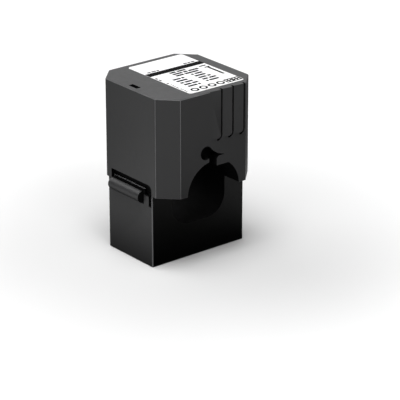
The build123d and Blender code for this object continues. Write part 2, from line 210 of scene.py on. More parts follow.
def cloud(tree, place, scale, detail):
    """A noise pattern that is zero on average."""
    node = add_node(tree, "ShaderNodeTexNoise")
    feed(tree, node.inputs["Vector"], place)
    feed(tree, node.inputs["Scale"], scale)
    feed(tree, node.inputs["Detail"], detail)
    return sums(tree, "SUBTRACT", node.outputs["Fac"], 0.5)


def new_effect(title, inputs):
    """An empty node group with the three outputs that every effect here has."""
    group = bpy.data.node_groups.new(title, "ShaderNodeTree")
    group.interface.new_socket(name="Place", in_out="INPUT", socket_type="NodeSocketVector")
    for name, value in inputs.items():
        kind = "NodeSocketVector" if isinstance(value, tuple) else "NodeSocketFloat"
        socket = group.interface.new_socket(name=name, in_out="INPUT", socket_type=kind)
        socket.default_value = value
    for name in ("Tone", "Roughness", "Height"):
        group.interface.new_socket(name=name, in_out="OUTPUT", socket_type="NodeSocketFloat")
    entry = add_node(group, "NodeGroupInput").outputs
    leave = add_node(group, "NodeGroupOutput").inputs
    return group, entry, leave


# %% [markdown]
# ### The moulded skin
# An eroded mould leaves a skin of tiny hills, about a fifth of a millimetre across.
# From a step away it is only seen as a soft sheen. The melt also cools unevenly, so
# the tone drifts a little over a few millimetres. Three noises do this: fine grain,
# mostly for the height, patches, mostly for the roughness, and a slow drift for the
# tone.

# %% The moulded skin as a group
SKIN_INPUTS = {
    "Grain mm": 0.2,
    "Patch mm": 1.6,
    "Drift mm": 14.0,
    "Roughness": 0.45,
    "Spread": 0.1,
}
PATCH_IN_TONE = 0.4
PATCH_IN_HEIGHT = 0.3


def moulded_skin():
    """Grain, patches and drift."""
    group, entry, leave = new_effect("moulded skin", SKIN_INPUTS)

    def layer(name, detail):
        scale = sums(group, "DIVIDE", 1 / MM, entry[name])
        return cloud(group, entry["Place"], scale, detail)

    grain, patch, drift = layer("Grain mm", 1.0), layer("Patch mm", 3.0), layer("Drift mm", 2.0)
    uneven = sums(group, "ADD", sums(group, "MULTIPLY", patch, PATCH_IN_TONE), drift)
    tone = sums(group, "ADD", 1.0, sums(group, "MULTIPLY", uneven, entry["Spread"]))
    rough = sums(group, "MULTIPLY", sums(group, "ADD", patch, grain), entry["Spread"])
    feed(group, leave["Tone"], tone)
    feed(group, leave["Roughness"], sums(group, "ADD", entry["Roughness"], rough))
    hills = sums(group, "MULTIPLY", patch, PATCH_IN_HEIGHT)
    feed(group, leave["Height"], sums(group, "ADD", grain, hills))
    return group


SKIN = moulded_skin()
print("group:", SKIN.name, "with", len(SKIN.nodes), "nodes")

# %% [markdown]
# ### The drawn line
# Drawn wire, rolled strip and ground steel all carry fine lines along the way that
# they went through the tool. The pattern is a noise that is stretched along that way,
# by a small factor on that axis of its place.

# %% The drawn line as a group
LINE_INPUTS = {"Along": (1.0, 0.04, 1.0), "Line mm": 0.12, "Roughness": 0.3, "Spread": 0.25}


def drawn_line():
    """A stretched noise for metal."""
    group, entry, leave = new_effect("drawn line", LINE_INPUTS)
    stretch = add_node(group, "ShaderNodeVectorMath", operation="MULTIPLY")
    feed(group, stretch.inputs[0], entry["Place"])
    feed(group, stretch.inputs[1], entry["Along"])
    scale = sums(group, "DIVIDE", 1 / MM, entry["Line mm"])
    line = cloud(group, stretch.outputs[0], scale, 3.0)
    change = sums(group, "MULTIPLY", line, entry["Spread"])
    feed(group, leave["Tone"], sums(group, "ADD", 1.0, change))
    feed(group, leave["Roughness"], sums(group, "ADD", entry["Roughness"], change))
    feed(group, leave["Height"], line)
    return group


LINE = drawn_line()
print("group:", LINE.name, "with", len(LINE.nodes), "nodes")

# %% [markdown]
# ### One way to build a material
# Every finish here is a shader with a colour, and one effect that makes its tone,
# roughness and bump uneven. So one function builds them all. A second one paints
# sheen and shade onto a black moulding, with a smoother skin where it is paler: it
# reads a number that each face carries.

# %% Building a material


def finish(name, colour, effect, values, bump_mm=0.0, **shader_values):
    """A material whose tone, roughness and bump come from one effect."""
    material = bpy.data.materials.new(name)
    material.use_nodes = True
    tree = material.node_tree
    tree.nodes.clear()
    output = add_node(tree, "ShaderNodeOutputMaterial")
    shader = add_node(tree, "ShaderNodeBsdfPrincipled")
    feed(tree, output.inputs["Surface"], shader.outputs["BSDF"])
    group = add_node(tree, "ShaderNodeGroup", node_tree=effect)
    feed(tree, group.inputs["Place"], add_node(tree, "ShaderNodeTexCoord").outputs["Object"])
    for socket, value in values.items():
        group.inputs[socket].default_value = value
    tint = add_node(tree, "ShaderNodeVectorMath", operation="SCALE")
    tint.inputs[0].default_value = colour
    feed(tree, tint.inputs["Scale"], group.outputs["Tone"])
    feed(tree, shader.inputs["Base Color"], tint.outputs[0])
    feed(tree, shader.inputs["Roughness"], group.outputs["Roughness"])
    if bump_mm:
        relief = add_node(tree, "ShaderNodeBump")
        relief.inputs["Distance"].default_value = bump_mm * MM
        feed(tree, relief.inputs["Height"], group.outputs["Height"])
        feed(tree, shader.inputs["Normal"], relief.outputs["Normal"])
    for socket, value in shader_values.items():
        shader.inputs[socket.replace("_", " ")].default_value = value
    return material


def paint_sheen_and_polish(material, edge, polish):
    """A paler, smoother skin as painted sheen, and a darker, rougher one as painted shade, from
    the faces' own number.
    """
    tree = material.node_tree
    shader = tree.nodes["Principled BSDF"]
    tint = shader.inputs["Base Color"].links[0].from_node
    light_and_polish = add_node(tree, "ShaderNodeAttribute", attribute_name="painted_light_and_polish").outputs["Fac"]
    gain = sums(tree, "ADD", 1.0, sums(tree, "MULTIPLY", light_and_polish, edge))
    tone = tint.inputs["Scale"].links[0].from_socket
    feed(tree, tint.inputs["Scale"], sums(tree, "MULTIPLY", tone, gain))
    rough = shader.inputs["Roughness"].links[0].from_socket
    smooth = sums(tree, "MULTIPLY", light_and_polish, polish)
    feed(tree, shader.inputs["Roughness"], sums(tree, "SUBTRACT", rough, smooth))


def dress(piece, material):
    """One material all over a piece."""
    piece.data.materials.clear()
    piece.data.materials.append(material)


# %% [markdown]
# ## The finishes
# The housing is a dyed black engineering plastic with a satin skin. It is not true
# black: it is a very dark grey that gets most of its light by reflection. The inner
# pieces are seen only when the part is open or taken apart, and they get the finish
# that such pieces have: ground steel sheet, natural plastic, enamelled copper, yellow
# tape, a green board, tinned brass, cell rubber and spring steel.

# %% Finishes of the black mouldings and rubber
BLACK = finish(
    "satin black plastic",
    (0.04, 0.04, 0.041),
    SKIN,
    {"Grain mm": 0.2, "Roughness": 0.42, "Spread": 0.12},
    bump_mm=0.006,
    Specular_IOR_Level=0.3,
)
# Painted highlight: a paler tone and a smoother skin on edge rounds and the tongue's top; under
# zero, a darker tone as painted shade.
paint_sheen_and_polish(BLACK, edge=5.2, polish=0.15)
# Painted shade: a near-black, rougher skin for deep faces and the cut ends of the ridge.
PAINTED_SHADE_BLACK = finish(
    "dull black plastic with painted shade",
    (0.006, 0.006, 0.0063),
    SKIN,
    {"Grain mm": 0.3, "Roughness": 0.8, "Spread": 0.2},
    bump_mm=0.01,
    Specular_IOR_Level=0.05,
)
RUBBER = finish(
    "matt black rubber",
    (0.022, 0.022, 0.023),
    SKIN,
    {"Grain mm": 0.12, "Patch mm": 0.8, "Roughness": 0.72, "Spread": 0.16},
    bump_mm=0.01,
    Specular_IOR_Level=0.25,
)
CELL_RUBBER = finish(
    "cell rubber",
    (0.05, 0.05, 0.052),
    SKIN,
    {"Grain mm": 0.35, "Patch mm": 0.9, "Roughness": 0.9, "Spread": 0.3},
    bump_mm=0.06,
    Specular_IOR_Level=0.2,
)

# %% Finishes of the inner pieces
FORMER = finish(
    "natural former plastic",
    (0.66, 0.62, 0.52),
    SKIN,
    {"Grain mm": 0.25, "Roughness": 0.5, "Spread": 0.08},
    bump_mm=0.006,
    Subsurface_Weight=0.1,
    Subsurface_Scale=0.4 * MM,
)
TAPE = finish(
    "yellow polyester tape",
    (0.78, 0.5, 0.05),
    LINE,
    {"Along": (0.05, 1.0, 1.0), "Line mm": 0.5, "Roughness": 0.28, "Spread": 0.1},
    bump_mm=0.02,
    Coat_Weight=0.3,
)
BOARD = finish(
    "green board",
    (0.02, 0.13, 0.05),
    SKIN,
    {"Grain mm": 0.6, "Patch mm": 1.2, "Roughness": 0.3, "Spread": 0.1},
    bump_mm=0.01,
    Coat_Weight=0.5,
)
COPPER = finish(
    "enamelled copper",
    (0.6, 0.22, 0.08),
    LINE,
    {"Along": (1.0, 0.04, 0.04), "Line mm": 0.25, "Roughness": 0.22, "Spread": 0.3},
    bump_mm=0.03,
    Metallic=1.0,
    Coat_Weight=0.6,
)
TINNED = finish(
    "tinned brass",
    (0.62, 0.6, 0.55),
    LINE,
    {"Along": (1.0, 1.0, 0.1), "Line mm": 0.2, "Roughness": 0.3, "Spread": 0.2},
    Metallic=1.0,
)

# %% Finishes of the steel pieces and the label
PIN_STEEL = finish(
    "drawn stainless steel",
    (0.55, 0.55, 0.56),
    LINE,
    {"Along": (1.0, 0.04, 1.0), "Line mm": 0.06, "Roughness": 0.28, "Spread": 0.25},
    bump_mm=0.002,
    Metallic=1.0,
)
CORE_STEEL = finish(
    "ground core steel",
    (0.4, 0.41, 0.43),
    LINE,
    {"Along": (0.05, 1.0, 1.0), "Line mm": 0.1, "Roughness": 0.34, "Spread": 0.3},
    bump_mm=0.004,
    Metallic=1.0,
)
FILM = finish(
    "white label film",
    (0.93, 0.93, 0.93),
    SKIN,
    {"Grain mm": 0.3, "Patch mm": 3.0, "Roughness": 0.35, "Spread": 0.03},
    bump_mm=0.002,
)
INK = finish(
    "black print ink",
    (0.006, 0.006, 0.006),
    SKIN,
    {"Grain mm": 0.15, "Patch mm": 0.6, "Roughness": 0.8, "Spread": 0.2},
    Specular_IOR_Level=0.05,
)

# %% Each slot of the record gets its finish
BY_SLOT = {
    "black_housing": BLACK,
    "core_steel": CORE_STEEL,
    "former_plastic": FORMER,
    "copper_wire": COPPER,
    "tape": TAPE,
    "board": BOARD,
    "tinned_brass": TINNED,
    "pad_rubber": CELL_RUBBER,
    "grommet_rubber": RUBBER,
    "label": FILM,
    "pin_steel": PIN_STEEL,
}
slot_of = {row["node"]: row["material_slot"] for row in frame["record"]["subparts"]}
for name, slot in slot_of.items():
    dress(nodes[name], BY_SLOT[slot])
print("finishes:", len(BY_SLOT), "slots and the print ink")

# %% [markdown]
# ## Putting a new piece on the model
# Each new piece moves with one body of the model, gets the finish of the slot of the node
# that it stands for, and hides that node. The body's name comes from the model as well.

# %% Placing helper
body_of = {}
for body, names in frame["record"]["behaviour"]["bodies"].items():
    for name in names:
        body_of[name] = body
print("bodies:", sorted(set(body_of.values())))


def stand_for(piece, node):
    """The piece takes a node's body and the finish of its slot, and hides the node."""
    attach(piece, body_of[node])
    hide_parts(node)
    dress(piece, BY_SLOT[slot_of[node]])


# %% [markdown]
# ## The moulded shells
# The four black mouldings come over as solids with true shapes, but as loose, flat
# triangles. Real mouldings have no knife edges, and the light that a tiny round
# catches is what makes an edge look real. So each shell is copied, its triangles are
# merged and its flat areas dissolved. Modelling them again would only risk a worse
# fit. The three shells have their rounds in the solid already. The cover has none, so
# its sharp edges get one here. Face-weighted normals keep the flat walls flat while
# the rounds shade smoothly.

# %% Softening a shell
MERGE = 0.0005 * MM
FLAT = radians(0.4)
SHARP = radians(42)
SMOOTH = radians(38)
COVER_ROUND = 0.1 * MM


def soften(node, name, width=0):
    """A copy of a node with smooth shading and, where a width is given, small rounds."""
    clear_selection()
    piece = bpy.data.objects.new(name, nodes[node].data.copy())
    bpy.context.scene.collection.objects.link(piece)
    work_on(piece, "EDIT")
    bpy.ops.mesh.select_all(action="SELECT")
    bpy.ops.mesh.remove_doubles(threshold=MERGE)
    bpy.ops.mesh.dissolve_limited(angle_limit=FLAT, use_dissolve_boundaries=False)
    leave_edit()
    if width:
        apply_modifier(
            piece,
            "BEVEL",
            width=width,
            segments=2,
            limit_method="ANGLE",
            angle_limit=SHARP,
            use_clamp_overlap=False,
        )
    work_on(piece)
    bpy.ops.object.shade_smooth_by_angle(angle=SMOOTH)
    apply_modifier(piece, "WEIGHTED_NORMAL", keep_sharp=True)
    stand_for(piece, node)
    print(name, "triangles", triangles(piece))
    return piece


# %% [markdown]
# ### Painted sheen and shade
# The rounds of the outer edges get a thin, paler line as a painted highlight, and a
# smoother skin. The slots, the latch pocket and the window lie deeper than the outer
# walls, and they get a rougher, nearly black skin as painted shade. Each face of a shell
# is sorted by its depth below the outer walls, which are planes, from the pieces' boxes
# and the cut corner. Deep faces and the cut ends of the ridge get this darker finish. The
# others get a number that the material reads: 1 on the rounds of upright edges and less
# on level ones, more on the tongue's top as a painted highlight of its lip, a little under
# zero on the ends of the lower half as painted shade under the upper half, and zero elsewhere.

# %% Sorting the faces
# How far a cut corner reaches along a wall, the lower half's width from its middle,
# and the height of the tongue's top, as in the solid model.
CORNER_CUT = 5.05 * MM
LOWER_HALF = 16.85 * MM
TONGUE_TOP = 23.1 * MM
# A round lies this close to an outer wall, a recess is deeper than the second value,
# and the ridge stands further out than the third.
ROUND_DEPTH = 0.2 * MM
RECESS_DEPTH = 0.1 * MM
PROUD = 0.4 * MM
SLANT = cos(radians(10))
# The tongue's top gets a painted highlight, and the ends of the lower half a painted shade.
TONGUE_SHEEN = 2.0
END_SHADE = -0.19
SHADE_INDEX = 1


def box_planes(low, high):
    """Six outward planes as (normal, offset)."""
    planes = []
    for axis in range(3):
        normal = Vector((0, 0, 0))
        normal[axis] = 1
        planes += [(normal, high[axis]), (-normal, -low[axis])]
    return planes


def upper_planes():
    """The box of the upper half with its four cut corners."""
    low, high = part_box("upper_housing")
    half_x, half_y = -low.x, high.y
    planes = box_planes((-half_x, -half_y, low.z), (half_x, half_y, high.z))
    cut = (half_x + half_y - CORNER_CUT) / sqrt(2)
    for x in (-1, 1):
        planes += [(Vector((x, y, 0)).normalized(), cut) for y in (-1, 1)]
    return planes


def lower_planes():
    """The box of the lower half without its ridge and hinge arm."""
    low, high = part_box("lower_housing")
    return box_planes((-LOWER_HALF, low.y, low.z), (LOWER_HALF, high.y, TONGUE_TOP))


def sort_faces(piece, planes, end_shade=0.0):
    """Numbers the outer faces for painted sheen and shade, and gives the deep faces and cut
    ends the near-black finish of painted shade.
    """
    piece.data.materials.append(PAINTED_SHADE_BLACK)
    numbers = []
    deep = 0
    for face in piece.data.polygons:
        depth = min(offset - normal.dot(face.center) for normal, offset in planes)
        slanted = max(abs(normal.dot(face.normal)) for normal, offset in planes) < SLANT
        on_tongue = abs(face.center.z - TONGUE_TOP) < MERGE and face.normal.z > SLANT
        on_round = slanted and abs(depth) < ROUND_DEPTH
        faces_along = abs(face.normal.y) > SLANT
        on_end = faces_along and abs(depth) < ROUND_DEPTH
        upright = 1.0 - abs(face.normal.z)
        painted_sheen = TONGUE_SHEEN if on_tongue else upright if on_round else 0.0
        numbers.append(end_shade if on_end else painted_sheen)
        # Faces in recesses and the ridge's cut ends get the painted shade finish.
        cut_end = depth < -PROUD and faces_along
        if depth > RECESS_DEPTH or cut_end:
            face.material_index = SHADE_INDEX
            deep += 1
    attribute = piece.data.attributes.new("painted_light_and_polish", "FLOAT", "FACE")
    attribute.data.foreach_set("value", numbers)
    print(piece.name, "edge faces", len(numbers) - numbers.count(0.0), "dull faces", deep)


upper_shell = soften("upper_housing", "upper_shell")
lower_shell = soften("lower_housing", "lower_shell")
liner_shell = soften("window_liner", "liner_shell")
soften("lower_cover", "base_plate", COVER_ROUND)
sort_faces(upper_shell, upper_planes())
sort_faces(liner_shell, upper_planes())
sort_faces(lower_shell, lower_planes(), END_SHADE)

# %% [markdown]
# ## The rating label
# The label is a die-cut white film with round corners, laid on the roof. A plane is
# added at the node's place, its corners are rounded with a vertex bevel, and it is
# extruded to the film's thickness. Its top rim gets a tiny round, because a cut film
# always lifts a little light at its edge.

# %% The film
FILM_CORNER = 0.9 * MM
FILM_RIM = 0.04 * MM
film_low, film_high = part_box("rating_label")
film_size = film_high - film_low
film_middle = (film_low + film_high) / 2


def label_film():
    """The white film with its round corners."""
    clear_selection()
    place = (film_middle.x, film_middle.y, film_low.z)
    bpy.ops.mesh.primitive_plane_add(size=1, location=place)
    film = bpy.context.active_object
    film.name = "label_film"
    film.scale = (film_size.x, film_size.y, 1)
    bpy.ops.object.transform_apply(location=True, rotation=True, scale=True)
    work_on(film, "EDIT")
    bpy.ops.mesh.select_all(action="SELECT")
    bpy.ops.mesh.bevel(offset=FILM_CORNER, segments=6, affect="VERTICES")
    bpy.ops.mesh.select_all(action="SELECT")
    bpy.ops.mesh.extrude_region_move(TRANSFORM_OT_translate={"value": (0, 0, film_size.z)})
    top = film_high.z - MERGE
    pick(film, "EDGE", lambda edge: all(v.co.z > top for v in edge.verts))
    bpy.ops.mesh.bevel(offset=FILM_RIM, segments=2, affect="EDGES")
    bpy.ops.mesh.select_all(action="SELECT")
    bpy.ops.mesh.normals_make_consistent(inside=False)
    leave_edit()
    stand_for(film, "rating_label")


label_film()
print("film in mm:", [round(v / MM, 2) for v in film_size])

# %% [markdown]
# ### The print
# A rating label carries a heading zone, a thick rule, rows of data and small signs.
# Here each row is a run of short bars, and the signs are plain rings and squares. The
# ink is a layer a hundredth of a millimetre thick, so every mark is a real, very flat
# piece. A bar is a stretched cube, and a ring is a cylinder whose two ends are inset
# and bridged.

# %% Bars and rings of ink
INK_RISE = 0.012 * MM
RING_POINTS = 28


def mark(x0, x1, y0, y1):
    """A flat bar of ink between two corners in mm, on top of the film."""
    z = film_high.z - MERGE
    return cuboid("mark", (x0 * MM, y0 * MM, z), (x1 * MM, y1 * MM, z + INK_RISE))


def ring_mark(x, y, radius, width):
    """A flat ring of ink, as a short tube."""
    clear_selection()
    bpy.ops.mesh.primitive_cylinder_add(
        vertices=RING_POINTS,
        radius=radius * MM,
        depth=INK_RISE,
        end_fill_type="NGON",
        location=(x * MM, y * MM, film_high.z + INK_RISE / 2),
    )
    ring = bpy.context.active_object
    bpy.ops.object.transform_apply(location=True, rotation=True, scale=True)
    work_on(ring, "EDIT")
    pick(ring, "FACE", is_level)
    bpy.ops.mesh.inset(thickness=width * MM)
    bpy.ops.mesh.bridge_edge_loops()
    leave_edit()
    return ring


def bar_row(x, y, height, lengths, gap):
    """A row of short bars from left to right, with a gap after each."""
    marks = []
    for length in lengths:
        marks.append(mark(x, x + length, y, y + height))
        x += length + gap
    return marks


# %% [markdown]
# The layout keeps the proportions of such labels: a bare heading zone with one small
# line under it, a thick rule from edge to edge, blocks of data below it, a fine line of
# marks along the left edge, and a row of signs at the front. All its sizes are in
# millimetres. A bar is given by its left, right, front and back edges, and a block by
# its left edge, the front edge of its first row and the gap between its bars.

# %% The layout of the print
RULE = (3.75, 6.25)
HEADING_HEIGHT = 0.65
HEADING_ROWS = [(-5.3, 6.7, (1.1, 1.6, 0.8), 0.35), (7.9, 6.7, (1.3, 0.9, 1.2), 0.3)]
ROW_HEIGHT = 0.95
TOP_BLOCK = (-0.5, 2.35, 0.45)
TOP_PITCH = 1.5
TOP_ROWS = [(2.2, 3.1), (3.4, 1.4, 3.6), (2.8, 4.9)]
LEFT_BLOCK = (-3.4, -2.9, 0.4)
RIGHT_BLOCK = (3.7, -2.3, 0.45)
ROW_PITCH = 1.72
DATA_ROWS = [(2.7, 0.9), (3.8,), (1.2, 2.7), (2.5, 2.0), (3.3, 0.8)]
LEFT_BARS = [(-6.6, -6.05, 0.9, 1.9), (-6.6, -6.05, -0.9, 0.3), (-6.6, -5.95, -4.0, -3.4)]
RIGHT_BARS = [(11.3, 12.1, -6.9, 0.4), (10.7, 12.5, 0.4, 1.0), (9.9, 12.3, 1.9, 2.6)]
FINE_SPAN = (-6.5, -6.05)
FINE_START = -5.0
FINE_PITCH = 0.9
FINE_HEIGHTS = (0.35, 0.55)
FINE_MARKS = 9
SIGN_Y = -12.5
SIGN_RADIUS = 1.3
SIGN_LINE = 0.6
RING_START = -3.5
RING_PITCH = 3.1
RINGS = 4
GRID_PLACES = (8.85, 11.6)
GRID_HALF = SIGN_RADIUS * 1.02
GRID_LINE = SIGN_LINE * 0.8


def bar_block(x, y, gap, pitch, rows):
    """Rows of bars, one in front of the other."""
    marks = []
    for row, lengths in enumerate(rows):
        marks += bar_row(x, y - pitch * row, ROW_HEIGHT, lengths, gap)
    return marks


def grid_sign(x):
    """A square sign with a cross of bars in it."""
    first, middle, last = -GRID_HALF, -GRID_LINE / 2, GRID_HALF - GRID_LINE
    bars = []
    for shift in (first, middle, last):
        y = SIGN_Y + shift
        bars.append(mark(x - GRID_HALF, x + GRID_HALF, y, y + GRID_LINE))
    for shift in (first, middle, last):
        side = x + shift
        bars.append(mark(side, side + GRID_LINE, SIGN_Y - GRID_HALF, SIGN_Y + GRID_HALF))
    return bars


def label_marks():
    """All the marks of the label, each as its own piece."""
    marks = [mark(film_low.x / MM, film_high.x / MM, *RULE)]
    for x, y, lengths, gap in HEADING_ROWS:
        marks += bar_row(x, y, HEADING_HEIGHT, lengths, gap)
    marks += bar_block(*TOP_BLOCK, TOP_PITCH, TOP_ROWS)
    marks += bar_block(*LEFT_BLOCK, ROW_PITCH, DATA_ROWS)
    marks += bar_block(*RIGHT_BLOCK, ROW_PITCH, [lengths[::-1] for lengths in DATA_ROWS])
    marks += [mark(*bar) for bar in LEFT_BARS + RIGHT_BARS]
    for step in range(FINE_MARKS):
        y = FINE_START - FINE_PITCH * step
        marks.append(mark(*FINE_SPAN, y - FINE_HEIGHTS[step % 2], y))
    for step in range(RINGS):
        marks.append(ring_mark(RING_START + RING_PITCH * step, SIGN_Y, SIGN_RADIUS, SIGN_LINE))
    for x in GRID_PLACES:
        marks += grid_sign(x)
    return marks


# %% [markdown]
# The marks are joined to one piece, because print is one thing on the label. It lies on
# the film and moves with it, but it stands for no node of its own.

# %% The print as one piece


def label_print():
    """The print, as one joined piece."""
    marks = label_marks()
    clear_selection()
    for piece in marks:
        piece.select_set(True)
    bpy.context.view_layer.objects.active = marks[0]
    bpy.ops.object.join()
    joined = bpy.context.active_object
    joined.name = "label_print"
    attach(joined, body_of["rating_label"])
    dress(joined, INK)
    return joined


print_piece = label_print()
print("print triangles:", triangles(print_piece))

# %% [markdown]
# ## Turned pieces
# The rubber grommet and the hinge pin are round, so they are turned like work on a
# lathe. A circle is added at the first station, and each further station extrudes the
# open rim along the axis and resizes it. The list of stations reads as the profile. It
# ends where it starts, as for the grommet, or starts and ends on the axis, as for the
# pin, so the piece is closed.

# %% The lathe


def turned(name, x, z, stations, points):
    """A round piece along Y from a list of (radius, y) stations."""
    radius, y = stations[0]
    clear_selection()
    bpy.ops.mesh.primitive_circle_add(
        vertices=points, radius=radius, location=(x, y, z), rotation=(pi / 2, 0, 0)
    )
    piece = bpy.context.active_object
    piece.name = name
    bpy.ops.object.transform_apply(location=True, rotation=True, scale=True)
    work_on(piece, "EDIT")
    bpy.ops.mesh.select_mode(type="VERT")
    bpy.ops.mesh.select_all(action="SELECT")
    for next_radius, next_y in stations[1:]:
        bpy.ops.mesh.extrude_region_move(TRANSFORM_OT_translate={"value": (0, next_y - y, 0)})
        share = next_radius / radius
        bpy.ops.transform.resize(value=(share, 1, share), center_override=(x, next_y, z))
        radius, y = next_radius, next_y
    bpy.ops.mesh.select_all(action="SELECT")
    bpy.ops.mesh.remove_doubles(threshold=MERGE)
    bpy.ops.mesh.normals_make_consistent(inside=False)
    leave_edit()
    bpy.ops.object.shade_smooth_by_angle(angle=SMOOTH)
    return piece


def arc(middle_radius, middle_y, size, start, end, steps):
    """Stations along an arc of a profile, with its angles in degrees."""
    turns = [radians(start + (end - start) * step / steps) for step in range(steps + 1)]
    return [(middle_radius + size * cos(turn), middle_y + size * sin(turn)) for turn in turns]


# %% [markdown]
# ### The grommet
# The grommet is soft rubber that is pushed into its hole from outside: a wide inner
# collar, a neck as long as the wall, and an outer collar with a rolled rim. The bore
# opens in a small funnel so that the lead can bend without chafing.

# %% The grommet at its node
GROMMET_NECK = 2.58 * MM
GROMMET_BORE = 1.6 * MM
GROMMET_PROUD = 0.3 * MM
GROMMET_POINTS = 64
FUNNEL_SHARE = 1.2
WALL = 1.8 * MM
grommet_low, grommet_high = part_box("lead_grommet")


def rubber_grommet():
    """The grommet, turned as one closed ring."""
    middle = (grommet_low + grommet_high) / 2
    flange = (grommet_high.x - grommet_low.x) / 2
    inner, outer = grommet_low.y, grommet_high.y
    wall_out = outer - GROMMET_PROUD
    wall_in = wall_out - WALL
    roll = GROMMET_PROUD / 2
    funnel = GROMMET_PROUD * FUNNEL_SHARE
    stations = [(GROMMET_BORE, inner)]
    stations += arc(flange - roll, inner + roll, roll, -90, 0, 4)
    stations += arc(flange - roll, wall_in - roll, roll, 0, 90, 4)
    stations += [(GROMMET_NECK, wall_in), (GROMMET_NECK, wall_out)]
    stations += arc(flange - roll, wall_out + roll, roll, -90, 90, 8)
    stations += arc(GROMMET_BORE + funnel, outer - funnel, funnel, 90, 180, 6)
    stations += [(GROMMET_BORE, inner)]
    grommet = turned("rubber_grommet", middle.x, middle.z, stations, GROMMET_POINTS)
    stand_for(grommet, "lead_grommet")
    return grommet


grommet = rubber_grommet()
print("grommet triangles:", triangles(grommet))

# %% [markdown]
# ### The hinge pin
# The pin is a short piece of drawn steel wire, pressed into the outer knuckles. Its
# cut ends are rounded by tumbling, so each end is an arc down to the axis.

# %% The pin at its node
DOME_SHARE = 0.5
PIN_POINTS = 32


def steel_pin():
    """The pin with its two rounded ends."""
    low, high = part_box("hinge_pin")
    middle = (low + high) / 2
    radius = (high.x - low.x) / 2
    dome = radius * DOME_SHARE
    flat = radius - dome
    stations = [(MERGE, low.y)] + arc(flat, low.y + dome, dome, -90, 0, 5)
    stations += arc(flat, high.y - dome, dome, 0, 90, 5) + [(MERGE, high.y)]
    pin = turned("steel_pin", middle.x, middle.z, stations, PIN_POINTS)
    stand_for(pin, "hinge_pin")
    return pin


pin = steel_pin()
print("pin triangles:", triangles(pin))

# %% [markdown]
# ## The laminated core
# The core is a stack of thin steel sheets, coated so that no current can pass between
# them. Each half is a stack of U-shaped sheets. One sheet starts as a cube for its
# yoke. It is cut at the inner faces of the limbs, and the two faces beside the cuts are
# extruded to the pole level. An array then repeats it along the cable, one pitch at a
# time. The lines between the sheets are real gaps.

# %% One sheet and its stack
SHEETS = 50
SHEET_SHARE = 0.94
YOKE = 3.8 * MM
LIMB = 3.8 * MM
SHEET_CORNER = 1.5 * MM


def sheet_stack(node, name, pole_down):
    """Half of the core as a stack of U-shaped sheets."""
    low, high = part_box(node)
    pitch = (high.y - low.y) / (SHEETS - 1 + SHEET_SHARE)
    thickness = pitch * SHEET_SHARE
    z0, z1 = (high.z - YOKE, high.z) if pole_down else (low.z, low.z + YOKE)
    inner_z, outer_z = (z0, z1) if pole_down else (z1, z0)
    reach = (low.z - z0) if pole_down else (high.z - z1)
    sheet = cuboid(name, (low.x, low.y, z0), (high.x, low.y + thickness, z1))
    work_on(sheet, "EDIT")
    for x in (low.x + LIMB, high.x - LIMB):
        bpy.ops.mesh.select_all(action="SELECT")
        bpy.ops.mesh.bisect(plane_co=(x, 0, 0), plane_no=(1, 0, 0))

    def limb_end(face):
        middle = face.calc_center_median()
        beside = abs(middle.x) > high.x - LIMB
        return beside and is_level(face) and abs(middle.z - inner_z) < MERGE

    ends = pick(sheet, "FACE", limb_end)
    bpy.ops.mesh.extrude_region_move(TRANSFORM_OT_translate={"value": (0, 0, reach)})

    def outer_corner(edge):
        middle = edge_middle(edge)
        along = abs(edge.verts[0].co.y - edge.verts[1].co.y) > thickness / 2
        return along and abs(middle.z - outer_z) < MERGE and abs(middle.x) > high.x - MERGE

    corners = pick(sheet, "EDGE", outer_corner)
    bpy.ops.mesh.bevel(offset=SHEET_CORNER, segments=5, affect="EDGES")
    leave_edit()
    apply_modifier(
        sheet,
        "ARRAY",
        count=SHEETS,
        use_relative_offset=False,
        use_constant_offset=True,
        constant_offset_displace=(0, pitch, 0),
    )
    stand_for(sheet, node)
    print(name, "limb ends", ends, "corners", corners, "triangles", triangles(sheet))
    return sheet


sheet_stack("upper_core", "upper_core_sheets", True)
sheet_stack("lower_core", "lower_core_sheets", False)

# %% [markdown]
# ## The camera
# The camera stands in front of the part and to its left, about 22 degrees up, with a
# long lens. Its place and direction were worked out from the corners of the two boxes.

# %% Camera
LENS = 194.55
SENSOR = 36.0
NEAREST = 0.01
EYE = Vector((-0.3629, -0.4594, 0.25430))
FORWARD = Vector((0.5814, 0.7193, -0.3802))

camera_data = bpy.data.cameras.new("camera")
camera = bpy.data.objects.new("camera", camera_data)
bpy.context.scene.collection.objects.link(camera)
camera_data.lens = LENS
camera_data.sensor_width = SENSOR
camera_data.sensor_fit = "HORIZONTAL"
camera_data.clip_start = NEAREST
camera.location = EYE
camera.rotation_euler = FORWARD.to_track_quat("-Z", "Y").to_euler()
bpy.context.scene.camera = camera
print("camera", round((EYE - (cad_low + cad_high) / 2).length, 3), "m from the part")

# %% [markdown]
# ## The studio
# Black plastic shows what it mirrors more than what falls on it. So the light is
# planned as a set of panels: a large soft box overhead on the camera's side, weak
# panels in front and on the right, a narrow upright strip on the left for the edges,
# and two panels behind. The low one gives the roof its sheen, and the high one gives
# it to the top of the latch's ridge. The room gives hardly any light, which keeps the
# window deep. A panel is given by its turn from the front, its rise, its distance, its
# two sizes and its radiance.

# %% Panels and room
TARGET = Vector((0, 0, 26 * MM))
ROOM_SEEN = 0.95
ROOM_TONE = 0.002


